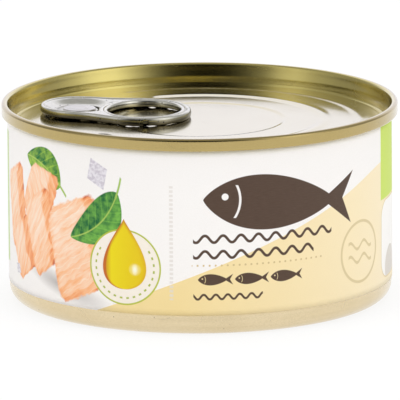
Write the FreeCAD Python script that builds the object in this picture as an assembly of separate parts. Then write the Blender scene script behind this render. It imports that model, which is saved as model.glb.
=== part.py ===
import FreeCAD, Part
import math
import os

from FreeCAD import Vector

# Round food can, 87 mm over the seam and 43.5 mm high, standing on its base.
# Millimetres, +Z up. The origin is the middle of the flat face it stands on.
# The shut can is solid inside: a drawn body, an easy-open end rolled on to it,
# a ring-pull riveted to the end, and a paper label round the wall.

# Drawn body
BODY_R = 41.95            # outside of the wall
HEIGHT = 43.5             # base to the top of the seam
BODY_T = 0.2              # tinplate of the wall, seen only where the end fits in
BASE_CORNER = 3.3         # outside radius between wall and base
STAND_RING_W = 2.3        # flat ring that touches the shelf
BASE_STEP_W = 1.6         # sloped step from that ring up to the base panel
BASE_DEPTH = 1.1          # how far the base panel lies above the shelf
BASE_RIB_INS = (5.8, 14.8)    # middle of each rib, in from the edge of the base panel
BASE_RIB_W = 4.0
BASE_RIB_RISE = 0.5

# Double seam
SEAM_OUT = 1.45           # how far it stands out from the wall
SEAM_H = 2.75
SEAM_W = 1.4              # outside face to inside face, at the top
SEAM_TOP_ROUND = 0.6
SEAM_FOOT_ROUND = 0.45

# Easy-open end
END_T = 0.15              # end's own wall just under the seam
PLUG_GAP = 0.05           # between the end and the wall around it
WALL_TAPER = 0.2          # the chuck wall narrows by this from the seam's foot to the groove
GROOVE_DEPTH = 4.95       # top of the seam to the bottom of the groove round the panel
GROOVE_W = 1.1
GROOVE_RAMP_W = 0.7       # slope from the groove up to the panel
PANEL_DEPTH = 4.3         # top of the seam to the flat of the panel
PLUG_BELOW_GROOVE = 0.4   # end and fill under the groove, as one solid
OUTER_RIB_IN = 4.6        # middle of the rib beside the score line, in from the panel's edge
OUTER_RIB_W = 3.2
OUTER_RIB_RISE = 0.35
OUTER_RIB_HALF_GAP = 47.0     # degrees left free on each side of the tab's line
INNER_RIB_IN = 12.3
INNER_RIB_W = 4.2
INNER_RIB_RISE = 0.3
INNER_RIB_HALF_GAP = 55.0
CENTRE_STEP_IN = 21.1     # shallow step round the middle of the panel
CENTRE_STEP_W = 1.2
CENTRE_DROP = 0.2

# Rivet, drawn up from the panel
RIVET_IN = 12.1           # in from the panel's edge
RIVET_STEM_R = 2.2
RIVET_HEAD_R = 3.6
RIVET_HEAD_H = 0.4
RIVET_BOSS_EDGE = 0.2     # how far the boss stands out beyond the head
RIVET_BOSS_RISE = 0.5     # panel to the face that carries the tab
RIVET_GAP = 0.05          # round the stem

# Ring-pull, on a line from the middle of the end out to its nose
TAB_AZIMUTH = 163.8       # degrees from +X
NOSE_R = 8.7              # round nose, about the rivet
RING_R = 11.2             # round ring end
RING_TO_RIVET = 13.9
TAB_H = 1.75              # height of the rolled rim
TAB_CLEAR = 0.3           # panel to the underside of the tab at the rivet
TAB_TILT = 0.9            # degrees, nose up
RIM_W = 2.0               # rolled rim at the sides of the finger hole, and the bar across it
RING_END_W = 2.4          # rolled rim at the round end of the ring
BAR_TO_RIVET = 6.9        # edge of the finger hole nearest the rivet
NOSE_RIM_W = 1.3          # rolled rim round the dish
RIM_ROUND = min(0.62, 0.45 * TAB_H, 0.45 * NOSE_RIM_W)
FLOOR_EDGE = 1.7          # level floor of the dish, out beyond the rivet's head
FLOOR_T = 0.3
TONGUE_EDGE = 0.3         # level tongue, out beyond the rivet's head
SLOT_OUT = 0.8            # slot that frees the tongue, out from the rivet's head
SLOT_W = 0.8
SLOT_HALF_ANGLE = 70.0
NOTCH_ANGLE = 113.0       # gap between the rolled rim's two ends, round the ring end
NOTCH_W = 1.1
NOTCH_DEPTH = 1.1
NOTCH_H = 1.35

# Paper label
LABEL_T = 0.15
LABEL_FROM = 4.55         # lower edge above the shelf
LABEL_TOP_GAP = 0.15      # upper edge to the seam
LAP_AT = 90.0             # degrees from +X, where the label's two ends lap
LAP_W = 8.0
LAP_T = 0.1

SEAM_R = BODY_R + SEAM_OUT
SEAM_FOOT_Z = HEIGHT - SEAM_H
PANEL_Z = HEIGHT - PANEL_DEPTH
GROOVE_Z = HEIGHT - GROOVE_DEPTH
PLUG_Z = GROOVE_Z - PLUG_BELOW_GROOVE
PLUG_R = BODY_R - BODY_T - PLUG_GAP
GROOVE_R = PLUG_R - END_T - WALL_TAPER
PANEL_R = GROOVE_R - GROOVE_W - GROOVE_RAMP_W
RIVET_AT = PANEL_R - RIVET_IN
RING_AT = RIVET_AT - RING_TO_RIVET
UP = Vector(0, 0, 1)


def turned(points, start=0, sweep=360):
    """Solid of revolution of an outline of (radius, height) points that starts low and runs outwards."""
    corners = [Vector(r, 0, z) for r, z in points]
    solid = Part.Face(Part.makePolygon(corners + corners[:1])).revolve(Vector(0, 0, 0), UP, sweep)
    solid.rotate(Vector(0, 0, 0), UP, start)
    return solid


def arc_points(centre_r, centre_z, radius, start, end, steps=10):
    """Points of an arc in the (radius, height) plane, angles in degrees."""
    points = []
    for step in range(steps + 1):
        angle = math.radians(start + (end - start) * step / steps)
        points.append((centre_r + radius * math.cos(angle), centre_z + radius * math.sin(angle)))
    return points


def rib_points(middle_r, width, base_z, rise, end=-0.5, steps=8):
    """Points across a smooth rib of one cosine wave, from its outer edge to its inner edge or middle (0)."""
    points = []
    for step in range(steps + 1):
        across = 0.5 + (end - 0.5) * step / steps
        points.append((middle_r + width * across, base_z + rise * (1 + math.cos(2 * math.pi * across)) / 2))
    return points


def along_tab(distance, height):
    """Point above the tab's line, at a distance from the middle of the end."""
    angle = math.radians(TAB_AZIMUTH)
    return Vector(distance * math.cos(angle), distance * math.sin(angle), height)


def can_body():
    """Wall, rounded corner, standing ring and ribbed base, filled to the end above."""
    corner_r = BODY_R - BASE_CORNER
    ring_inner = corner_r - STAND_RING_W
    panel_edge = ring_inner - BASE_STEP_W
    outline = [(0, BASE_DEPTH)]
    for rib_in in reversed(BASE_RIB_INS):
        outline += reversed(rib_points(panel_edge - rib_in, BASE_RIB_W, BASE_DEPTH, BASE_RIB_RISE))
    outline += [(panel_edge, BASE_DEPTH), (ring_inner, 0)]
    outline += arc_points(corner_r, BASE_CORNER, BASE_CORNER, -90, 0)
    outline += [(BODY_R, SEAM_FOOT_Z), (BODY_R - BODY_T, SEAM_FOOT_Z), (BODY_R - BODY_T, PLUG_Z), (0, PLUG_Z)]
    return turned(outline)


def open_rib(middle_r, width, rise, half_gap):
    """Raised rib round the panel, left open on both sides of the tab, with round ends."""
    foot_z = PANEL_Z - rise
    section = [(middle_r - width / 2, foot_z), (middle_r + width / 2, foot_z)]
    section += rib_points(middle_r, width, PANEL_Z, rise)
    half_section = [(0, foot_z), (width / 2, foot_z)] + rib_points(0, width, PANEL_Z, rise, 0)
    ends = []
    for azimuth, start in ((TAB_AZIMUTH + half_gap, 180), (TAB_AZIMUTH - half_gap, 0)):
        end = turned(half_section, azimuth + start, 180)
        angle = math.radians(azimuth)
        end.translate(Vector(middle_r * math.cos(angle), middle_r * math.sin(angle), 0))
        ends.append(end)
    return turned(section, TAB_AZIMUTH + half_gap, 360 - 2 * half_gap).fuse(ends)


def rivet():
    """Boss that carries the tab, stem through it and flattened head on top."""
    seat_z = PANEL_Z + RIVET_BOSS_RISE
    head_z = seat_z + FLOOR_T
    boss = Part.makeCylinder(RIVET_HEAD_R + RIVET_BOSS_EDGE, 2 * RIVET_BOSS_RISE,
                             along_tab(RIVET_AT, seat_z - 2 * RIVET_BOSS_RISE))
    stem = Part.makeCylinder(RIVET_STEM_R, FLOOR_T, along_tab(RIVET_AT, seat_z))
    head = Part.makeCylinder(RIVET_HEAD_R, RIVET_HEAD_H, along_tab(RIVET_AT, head_z))
    top_edges = [edge for edge in head.Edges if edge.BoundBox.ZMin > head_z + RIVET_HEAD_H / 2]
    return boss.fuse([stem, head.makeFillet(RIVET_HEAD_H * 0.6, top_edges)])


def lid():
    """End with its rolled seam, chuck wall, groove, ribbed panel and rivet."""
    foot_middle_z = SEAM_FOOT_Z + SEAM_FOOT_ROUND
    top_middle_z = HEIGHT - SEAM_TOP_ROUND
    groove_middle_z = GROOVE_Z + GROOVE_W / 2
    step_r = PANEL_R - CENTRE_STEP_IN
    outline = [(0, PLUG_Z), (PLUG_R, PLUG_Z), (PLUG_R, SEAM_FOOT_Z)]
    outline += arc_points(SEAM_R - SEAM_FOOT_ROUND, foot_middle_z, SEAM_FOOT_ROUND, -90, 0, 5)
    outline += arc_points(SEAM_R - SEAM_TOP_ROUND, top_middle_z, SEAM_TOP_ROUND, 0, 90, 6)
    outline += arc_points(SEAM_R - SEAM_W + SEAM_TOP_ROUND, top_middle_z, SEAM_TOP_ROUND, 90, 180, 6)
    outline.append((PLUG_R - END_T, SEAM_FOOT_Z))
    outline += arc_points(GROOVE_R - GROOVE_W / 2, groove_middle_z, GROOVE_W / 2, 0, -160, 10)
    outline += [(PANEL_R, PANEL_Z), (step_r + CENTRE_STEP_W / 2, PANEL_Z),
                (step_r - CENTRE_STEP_W / 2, PANEL_Z - CENTRE_DROP), (0, PANEL_Z - CENTRE_DROP)]
    outer_rib = open_rib(PANEL_R - OUTER_RIB_IN, OUTER_RIB_W, OUTER_RIB_RISE, OUTER_RIB_HALF_GAP)
    inner_rib = open_rib(PANEL_R - INNER_RIB_IN, INNER_RIB_W, INNER_RIB_RISE, INNER_RIB_HALF_GAP)
    return turned(outline).fuse([outer_rib, inner_rib, rivet()]).removeSplitter()


def tab_outline():
    """Nose circle and ring circle with the straight sides that touch both, in the tab's own plane."""
    lean = math.asin((RING_R - NOSE_R) / RING_TO_RIVET)
    side = Vector(math.sin(lean), math.cos(lean), 0)
    nose_left = Vector(RIVET_AT, 0, 0) + side * NOSE_R
    ring_left = Vector(RING_AT, 0, 0) + side * RING_R
    nose_right = Vector(nose_left.x, -nose_left.y, 0)
    ring_right = Vector(ring_left.x, -ring_left.y, 0)
    edges = [Part.Arc(nose_right, Vector(RIVET_AT + NOSE_R, 0, 0), nose_left).toShape(),
             Part.LineSegment(nose_left, ring_left).toShape(),
             Part.Arc(ring_left, Vector(RING_AT - RING_R, 0, 0), ring_right).toShape(),
             Part.LineSegment(ring_right, nose_right).toShape()]
    return Part.Face(Part.Wire(edges))


def finger_oval(grow=0.0):
    """Block through the tab in the shape of the finger hole, or of the oval that far outside it."""
    near = RING_AT - RING_R + RING_END_W - grow
    far = RIVET_AT - BAR_TO_RIVET + grow
    middle = Vector((near + far) / 2, 0, 0)
    half_w = RING_R - RIM_W + grow
    oval = Part.Ellipse(middle + Vector(0, half_w, 0), Vector(far, 0, 0), middle)
    return Part.Face(Part.Wire(oval.toShape())).extrude(Vector(0, 0, TAB_H))


def tab_blank():
    """Tab with its rolled rim all round, finger hole through it, edges rounded."""
    blank = tab_outline().extrude(Vector(0, 0, TAB_H)).cut(finger_oval())
    flat_edges = [edge for edge in blank.Edges if edge.BoundBox.ZLength < RIM_ROUND]
    return blank.makeFillet(RIM_ROUND, flat_edges)


def tab_dish(floor_z):
    """Sloped dish round the rivet, which stops at the bar beside the finger hole."""
    cone = Part.makeCone(RIVET_HEAD_R + FLOOR_EDGE, NOSE_R - NOSE_RIM_W, TAB_H - floor_z,
                         Vector(RIVET_AT, 0, floor_z), UP)
    return cone.cut(finger_oval(RIM_W))


def tongue_slot():
    """C-shaped slot round the ring side of the rivet, which frees the riveted tongue."""
    foot = Vector(RIVET_AT, 0, -TAB_H / 2)
    inner_r = RIVET_HEAD_R + SLOT_OUT - SLOT_W / 2
    slot = Part.makeCylinder(inner_r + SLOT_W, 2 * TAB_H, foot, UP, 2 * SLOT_HALF_ANGLE)
    slot.rotate(foot, UP, 180 - SLOT_HALF_ANGLE)
    return slot.cut(Part.makeCylinder(inner_r, 2 * TAB_H, foot))


def rim_notch():
    """Narrow gap under the crest of the ring, in its outer side."""
    notch = Part.makeBox(2 * NOTCH_DEPTH, NOTCH_W, NOTCH_H, Vector(RING_R - NOTCH_DEPTH, -NOTCH_W / 2, 0))
    notch.rotate(Vector(0, 0, 0), UP, NOTCH_ANGLE)
    notch.translate(Vector(RING_AT, 0, 0))
    return notch


def pull_tab():
    """Stamped ring-pull: rolled rim, finger hole, dish with a slotted tongue on the rivet."""
    seat_z = RIVET_BOSS_RISE - TAB_CLEAR
    tongue_r = RIVET_HEAD_R + TONGUE_EDGE
    tab = tab_blank().cut([tab_dish(seat_z + FLOOR_T), tongue_slot(), rim_notch()])
    tab.rotate(Vector(RIVET_AT, 0, seat_z), Vector(0, 1, 0), -TAB_TILT)
    space = Part.makeCylinder(tongue_r, 2 * TAB_H, Vector(RIVET_AT, 0, -TAB_H / 2))
    tongue = Part.makeCylinder(tongue_r, FLOOR_T, Vector(RIVET_AT, 0, seat_z))
    stem_hole = Part.makeCylinder(RIVET_STEM_R + RIVET_GAP, 2 * TAB_H, Vector(RIVET_AT, 0, -TAB_H / 2))
    tab = tab.cut(space).fuse(tongue).cut(stem_hole)
    tab.rotate(Vector(0, 0, 0), UP, TAB_AZIMUTH)
    tab.translate(Vector(0, 0, PANEL_Z + TAB_CLEAR))
    return tab


def paper_label():
    """Strip of paper round the wall, with one end lapped over the other at the back."""
    height = SEAM_FOOT_Z - LABEL_TOP_GAP - LABEL_FROM
    foot = Vector(0, 0, LABEL_FROM)
    wrap = Part.makeCylinder(BODY_R + LABEL_T, height, foot).cut(Part.makeCylinder(BODY_R, height, foot))
    lap_angle = math.degrees(LAP_W / BODY_R)
    outer = Part.makeCylinder(BODY_R + LABEL_T + LAP_T, height, foot, UP, lap_angle)
    lap = outer.cut(Part.makeCylinder(BODY_R + LABEL_T / 2, height, foot))
    lap.rotate(Vector(0, 0, 0), UP, LAP_AT - lap_angle / 2)
    return wrap.fuse(lap).removeSplitter()


os.makedirs("parts", exist_ok=True)
PIECES = {"can_body": can_body, "lid": lid, "pull_tab": pull_tab, "paper_label": paper_label}
for name, make in PIECES.items():
    shape = make()
    box = shape.BoundBox
    print(name, shape.isValid(), len(shape.Solids), round(shape.Volume, 1),
          [round(value, 2) for value in (box.XMin, box.YMin, box.ZMin, box.XMax, box.YMax, box.ZMax)])
    shape.exportStep(f"parts/{name}.step")
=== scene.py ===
import math

import bpy
import numpy as np
from mathutils import Matrix, Vector


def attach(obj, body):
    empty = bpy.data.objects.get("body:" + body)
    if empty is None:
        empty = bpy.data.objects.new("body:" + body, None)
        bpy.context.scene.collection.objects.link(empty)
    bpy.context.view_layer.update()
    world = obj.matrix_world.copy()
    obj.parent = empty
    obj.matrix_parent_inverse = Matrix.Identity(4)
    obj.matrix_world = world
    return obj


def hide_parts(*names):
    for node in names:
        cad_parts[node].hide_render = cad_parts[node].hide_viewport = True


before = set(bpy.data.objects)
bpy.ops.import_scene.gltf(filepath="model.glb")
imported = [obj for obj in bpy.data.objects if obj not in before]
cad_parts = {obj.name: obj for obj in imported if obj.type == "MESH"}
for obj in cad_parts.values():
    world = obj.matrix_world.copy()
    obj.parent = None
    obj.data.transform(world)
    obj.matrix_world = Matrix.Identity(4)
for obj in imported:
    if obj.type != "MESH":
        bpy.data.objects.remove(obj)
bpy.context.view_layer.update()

# The scene: camera a little above the can, white paper under it and behind it,
# two large soft lamps at the sides and one overhead, each at a plain level.
scene = bpy.context.scene
scene.view_settings.view_transform = "Standard"
CAMERA_HEIGHT = 12.033     # degrees above the horizon
CAMERA_ROLL = -0.384
CAMERA_AWAY = 1.79779
CAMERA_AIM = (-0.000026, 0.0, 0.021072)
LENS = 737.52

camera_data = bpy.data.cameras.new("camera")
camera_data.sensor_width = 36.0
camera_data.lens = LENS
camera_data.clip_start, camera_data.clip_end = 0.05, 50.0
camera = bpy.data.objects.new("camera", camera_data)
scene.collection.objects.link(camera)
rise = math.radians(CAMERA_HEIGHT)
turn = math.radians(CAMERA_ROLL)
back = Vector((0.0, -math.cos(rise), math.sin(rise)))
level_up = Vector((0.0, math.sin(rise), math.cos(rise)))
right = Vector((1.0, 0.0, 0.0)) * math.cos(turn) + level_up * math.sin(turn)
up = level_up * math.cos(turn) - Vector((1.0, 0.0, 0.0)) * math.sin(turn)
place = Vector(CAMERA_AIM) + back * CAMERA_AWAY
camera.matrix_world = Matrix((
    (right.x, up.x, back.x, place.x), (right.y, up.y, back.y, place.y),
    (right.z, up.z, back.z, place.z), (0.0, 0.0, 0.0, 1.0)))
scene.camera = camera


class Term:
    """What a node gives, with arithmetic: a + b, a - b, a * b, a / b, a ** b and abs(a) add Math nodes to
    the same tree."""

    def __init__(self, tree, socket):
        self.tree, self.socket = tree, socket

    def __add__(self, other):
        return calc(self.tree, "ADD", self, other)

    def __sub__(self, other):
        return calc(self.tree, "SUBTRACT", self, other)

    def __rsub__(self, other):
        return calc(self.tree, "SUBTRACT", other, self)

    def __mul__(self, other):
        return calc(self.tree, "MULTIPLY", self, other)

    def __truediv__(self, other):
        return calc(self.tree, "DIVIDE", self, other)

    def __pow__(self, other):
        return calc(self.tree, "POWER", self, other)

    def __abs__(self):
        return calc(self.tree, "ABSOLUTE", self)


def wire(tree, value, socket):
    """Links a term or an output to a socket, or sets the socket to a plain value."""
    if isinstance(value, Term):
        value = value.socket
    if isinstance(value, bpy.types.NodeSocket):
        tree.links.new(value, socket)
    else:
        socket.default_value = value


def calc(tree, operation, *values, clamp=False):
    """Term for a Math node on these values."""
    node = tree.nodes.new("ShaderNodeMath")
    node.operation = operation
    node.use_clamp = clamp
    for socket, value in zip(node.inputs, values):
        wire(tree, value, socket)
    return Term(tree, node.outputs[0])


def split_axes(tree, vector):
    """The three terms of a vector."""
    node = tree.nodes.new("ShaderNodeSeparateXYZ")
    wire(tree, vector, node.inputs[0])
    return [Term(tree, output) for output in node.outputs]


def join_axes(tree, *values):
    """Vector from up to three values; the rest is 0."""
    node = tree.nodes.new("ShaderNodeCombineXYZ")
    for socket, value in zip(node.inputs, values):
        wire(tree, value, socket)
    return Term(tree, node.outputs[0])


def over(tree, mask, under, top):
    """Colour that is top where the mask is 1 and under where it is 0."""
    node = tree.nodes.new("ShaderNodeMix")
    node.data_type = "RGBA"
    for index, value in ((0, mask), (6, under), (7, top)):
        wire(tree, value, node.inputs[index])
    return Term(tree, node.outputs[2])


def ramp(tree, value, stops, smooth="LINEAR"):
    """Colour ramp through stops of (position, colour)."""
    node = tree.nodes.new("ShaderNodeValToRGB")
    node.color_ramp.interpolation = smooth
    while len(node.color_ramp.elements) < len(stops):
        node.color_ramp.elements.new(0.5)
    for element, (position, colour) in zip(node.color_ramp.elements, stops):
        element.position = position
        element.color = colour
    wire(tree, value, node.inputs[0])
    return Term(tree, node.outputs[0])


def grey(level):
    """Opaque grey of that linear level."""
    return (level, level, level, 1.0)


def ink(red, green, blue):
    """Linear colour from red, green and blue as a paint chart gives them, 0 to 255."""
    chart = np.array((red, green, blue)) / 255.0
    linear = np.where(chart < 0.04045, chart / 12.92, ((chart + 0.055) / 1.055) ** 2.4)
    return (*(float(x) for x in linear), 1.0)


PLAIN_LEVEL = 0.72
world = bpy.data.worlds.new("studio")
scene.world = world
world.use_nodes = True
tree = world.node_tree
tree.nodes.clear()
direction = tree.nodes.new("ShaderNodeTexCoord").outputs["Generated"]
east, north, height = split_axes(tree, direction)
side = calc(tree, "ARCTAN2", east, north * -1.0)
side = side * (-0.5 / math.pi) + 0.5
# Level round the horizon, from straight behind over the right to the front (0.5) and back over the left
HORIZON = (1.01, 1.01, 1.12, 1.0)
around = ramp(tree, side, [
    (0.0, HORIZON), (0.085, HORIZON), (0.125, grey(0.6)), (0.17, grey(0.4)), (0.236, grey(0.48)),
    (0.278, grey(0.74)), (0.311, grey(1.2)), (0.356, grey(1.25)), (0.383, grey(0.8)), (0.417, grey(0.27)),
    (0.45, grey(0.03)), (0.5, grey(0.0)), (0.55, grey(0.01)), (0.583, grey(0.08)), (0.617, grey(0.26)),
    (0.639, grey(0.68)), (0.672, grey(0.84)), (0.708, grey(0.5)), (0.764, grey(0.36)), (0.83, grey(0.34)),
    (0.875, grey(0.55)), (0.915, HORIZON), (1.0, HORIZON)])
aloft = ramp(tree, height, [(0.0, grey(0.0)), (0.62, grey(0.0)), (0.79, grey(1.0)), (1.0, grey(1.0))])
shown = over(tree, aloft, around, grey(0.4))
path = tree.nodes.new("ShaderNodeLightPath")
lit = over(tree, path.outputs["Is Glossy Ray"], grey(PLAIN_LEVEL), shown)
lit = over(tree, path.outputs["Is Camera Ray"], lit, grey(1.0))
background = tree.nodes.new("ShaderNodeBackground")
wire(tree, lit, background.inputs[0])
output = tree.nodes.new("ShaderNodeOutputWorld")
wire(tree, background.outputs[0], output.inputs[0])


def soft_lamp(name, where, size, watts):
    """Square area lamp that points at the can and lights it without showing in the metal."""
    data = bpy.data.lights.new(name, "AREA")
    data.size = size
    data.energy = watts
    lamp = bpy.data.objects.new(name, data)
    scene.collection.objects.link(lamp)
    lamp.location = where
    lamp.rotation_mode = "QUATERNION"
    lamp.rotation_quaternion = (Vector(where) - Vector(CAMERA_AIM)).to_track_quat("Z", "Y")
    lamp.visible_glossy = False
    return lamp


soft_lamp("lamp_left", (-1.1, -0.75, 0.7), 0.8, 4.1)
soft_lamp("lamp_right", (1.1, -0.75, 0.7), 0.8, 5.0)
soft_lamp("lamp_top", (0.0, 0.1, 1.3), 0.9, 3.7)

floor_size = 3.0
floor_mesh = bpy.data.meshes.new("floor")
floor_mesh.from_pydata([(-floor_size, -floor_size, 0.0), (floor_size, -floor_size, 0.0),
                        (floor_size, floor_size, 0.0), (-floor_size, floor_size, 0.0)], [], [(0, 1, 2, 3)])
floor = bpy.data.objects.new("floor", floor_mesh)
scene.collection.objects.link(floor)
floor_material = bpy.data.materials.new("white_paper_floor")
floor_material.use_nodes = True
tree = floor_material.node_tree
tree.nodes.clear()
paper = tree.nodes.new("ShaderNodeBsdfDiffuse")
paper.inputs["Color"].default_value = grey(0.86)
glow = tree.nodes.new("ShaderNodeEmission")
glow.inputs["Color"].default_value = grey(1.0)
glow.inputs["Strength"].default_value = 1.04
path = tree.nodes.new("ShaderNodeLightPath")
FLOOR_GLOW = 0.8           # how far the background's own white stands in for lit paper
shown = calc(tree, "MAXIMUM", path.outputs["Is Camera Ray"], path.outputs["Is Glossy Ray"])
share = shown * FLOOR_GLOW
blend = tree.nodes.new("ShaderNodeMixShader")
wire(tree, share, blend.inputs[0])
wire(tree, paper.outputs[0], blend.inputs[1])
wire(tree, glow.outputs[0], blend.inputs[2])
output = tree.nodes.new("ShaderNodeOutputMaterial")
wire(tree, blend.outputs[0], output.inputs[0])
floor_mesh.materials.append(floor_material)

# Can body: tinplate drawn into a cup, gold lacquered, with a rounded corner,
# a ring to stand on and a base panel stiffened by two ribs.
MM = 0.001
BODY_R = 41.95
BODY_TOP = 40.75
BODY_INNER_R = 41.75
PLUG_Z = 38.15
BASE_CORNER = 3.3
STAND_RING_W = 2.3
BASE_STEP_W = 1.6
BASE_DEPTH = 1.1
BASE_RIB_INS = (5.8, 14.8)
BASE_RIB_W = 4.0
BASE_RIB_RISE = 0.5
ROUND_STEPS = 512


def ease(low, high, value):
    """Smooth step: 0 below low, 1 above high, with level ends (3t^2 - 2t^3)."""
    t = np.clip((value - low) / (high - low), 0.0, 1.0)
    return t * t * (3.0 - 2.0 * t)


def wave_rib(distance, width, height):
    """One cosine wave: full height on the rib's middle, nothing beyond half its width."""
    return np.where(np.abs(distance) < width / 2,
                    height * (1 + np.cos(2 * np.pi * distance / width)) / 2, 0.0)


def arc(centre_r, centre_z, radius, start, end, steps):
    """Points of an arc in the (radius, height) plane, one row each, angles in degrees."""
    angle = np.radians(np.linspace(start, end, steps))
    return np.stack([centre_r + radius * np.cos(angle), centre_z + radius * np.sin(angle)], axis=1)


def run(start, end, steps):
    """Points along a straight line of the (radius, height) plane, one row each."""
    return np.linspace(start, end, steps)


def turned(radii, heights, steps=ROUND_STEPS):
    """Closed surface of revolution: row k is a circle of radius radii[k] at heights[k], which may
    change round the circle. The first and last rows lie on the axis and shrink to one point each."""
    azimuth = np.arange(steps) * 2 * np.pi / steps
    levels = np.broadcast_to(np.asarray(heights).reshape(len(radii), -1), (len(radii), steps))
    rings = np.stack([radii[1:-1, None] * np.cos(azimuth), radii[1:-1, None] * np.sin(azimuth),
                      levels[1:-1]], axis=-1)
    rows = len(rings)
    k = np.arange(rows - 1)[:, None] * steps
    j = np.arange(steps)
    after = (j + 1) % steps
    quads = np.stack(np.broadcast_arrays(k + j, k + after, k + steps + after, k + steps + j), axis=-1)
    low_pole, high_pole = rows * steps, rows * steps + 1
    last = (rows - 1) * steps
    fans = [(low_pole, int(b), int(a)) for a, b in zip(j, after)]
    fans += [(high_pole, int(last + a), int(last + b)) for a, b in zip(j, after)]
    points = np.concatenate([rings.reshape(-1, 3), [[0, 0, levels[0, 0]], [0, 0, levels[-1, 0]]]])
    return points, quads.reshape(-1, 4).tolist() + fans


def piece(name, points, faces, material, node):
    """Mesh object from points in millimetres, smooth, which stands for a node and rides on the root."""
    mesh = bpy.data.meshes.new(name)
    mesh.from_pydata((np.asarray(points) * MM).tolist(), [], faces)
    mesh.materials.append(material)
    mesh.polygons.foreach_set("use_smooth", np.ones(len(mesh.polygons), bool))
    mesh.update()
    made = bpy.data.objects.new(name, mesh)
    scene.collection.objects.link(made)
    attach(made, "root")
    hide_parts(node)
    return made


def new_group(name, inputs, outputs):
    """Empty shader node group with these inputs (kind, value) and outputs (kind), each under its name. Gives
    the group, its inputs as terms and its output node."""
    group = bpy.data.node_groups.new(name, "ShaderNodeTree")
    for label, (kind, value) in inputs.items():
        socket = group.interface.new_socket(name=label, in_out="INPUT", socket_type="NodeSocket" + kind)
        if value is not None:
            socket.default_value = value
    for label, kind in outputs.items():
        group.interface.new_socket(name=label, in_out="OUTPUT", socket_type="NodeSocket" + kind)
    source = group.nodes.new("NodeGroupInput")
    given = {label: Term(group, source.outputs[label]) for label in inputs}
    return group, given, group.nodes.new("NodeGroupOutput")


def noise(tree, where, scale, detail=2.0, stretch=None):
    """Value of a noise of that many waves to a unit of length; stretch scales the three axes first."""
    if stretch:
        mapping = tree.nodes.new("ShaderNodeMapping")
        mapping.inputs["Scale"].default_value = stretch
        wire(tree, where, mapping.inputs["Vector"])
        where = mapping.outputs[0]
    node = tree.nodes.new("ShaderNodeTexNoise")
    wire(tree, where, node.inputs["Vector"])
    wire(tree, scale, node.inputs["Scale"])
    node.inputs["Detail"].default_value = detail
    return Term(tree, node.outputs["Fac"])


def spread(tree, value, low, high, to_low=0.0, to_high=1.0):
    """Value mapped from low..high to to_low..to_high and held at the ends."""
    node = tree.nodes.new("ShaderNodeMapRange")
    for socket, number in zip(node.inputs, (value, low, high, to_low, to_high)):
        wire(tree, number, socket)
    return Term(tree, node.outputs[0])


# Finish of rolled and drawn tinplate: fine grain, lines left by the rolls, small dark specks and
# hair scratches. It gives colour, roughness and height from the object's own coordinates.
metal_finish, given, result = new_group(
    "metal_finish",
    {"Colour": ("Color", grey(0.7)), "Stain": ("Color", grey(0.3)), "Roughness": ("Float", 0.15),
     "Lines": ("Float", 0.5), "Specks": ("Float", 0.5), "Stretch": ("Vector", (1.0, 1.0, 1.0))},
    {"Colour": "Color", "Roughness": "Float", "Height": "Float"})
tree = metal_finish
here = tree.nodes.new("ShaderNodeTexCoord").outputs["Object"]
pulled = tree.nodes.new("ShaderNodeVectorMath")
pulled.operation = "MULTIPLY"
wire(tree, here, pulled.inputs[0])
wire(tree, given["Stretch"], pulled.inputs[1])
grain = noise(tree, here, 2600.0, 3.0)
lines = noise(tree, pulled.outputs[0], 900.0, 3.0)
patches = noise(tree, here, 95.0, 3.0)
dots = tree.nodes.new("ShaderNodeTexVoronoi")
dots.inputs["Scale"].default_value = 800.0
wire(tree, here, dots.inputs["Vector"])
chance = tree.nodes.new("ShaderNodeSeparateColor")
wire(tree, dots.outputs["Color"], chance.inputs[0])
speck = calc(tree, "LESS_THAN", dots.outputs["Distance"], given["Specks"] * 0.02 + 0.09)
rare = given["Specks"] * -0.3 + 1.0
speck = speck * calc(tree, "GREATER_THAN", chance.outputs[0], rare)
scratch = abs(noise(tree, here, 130.0, 1.0, (1.0, 0.25, 1.0)) - 0.5)
scratch = spread(tree, scratch, 0.0, 0.004, 1.0, 0.0) * calc(tree, "GREATER_THAN", patches, 0.56)
shade = spread(tree, grain, 0.3, 0.7, 0.0, 0.22)
shade = shade + spread(tree, lines, 0.3, 0.7) * (given["Lines"] * 0.3)
shade = calc(tree, "ADD", shade, spread(tree, patches, 0.35, 0.7, 0.0, 0.15), clamp=True)
colour = over(tree, shade, given["Colour"], given["Stain"])
colour = over(tree, speck * (given["Specks"] * 0.45), colour, grey(0.015))
wire(tree, colour, result.inputs["Colour"])
rough = spread(tree, patches, 0.3, 0.7) * 0.05 + given["Roughness"]
rough = scratch * 0.12 + rough
rough = speck * 0.3 + rough
wire(tree, rough, result.inputs["Roughness"])
relief = lines * given["Lines"] + grain * 0.35
relief = relief - scratch * 0.5
relief = relief - speck
wire(tree, relief, result.inputs["Height"])


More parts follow.
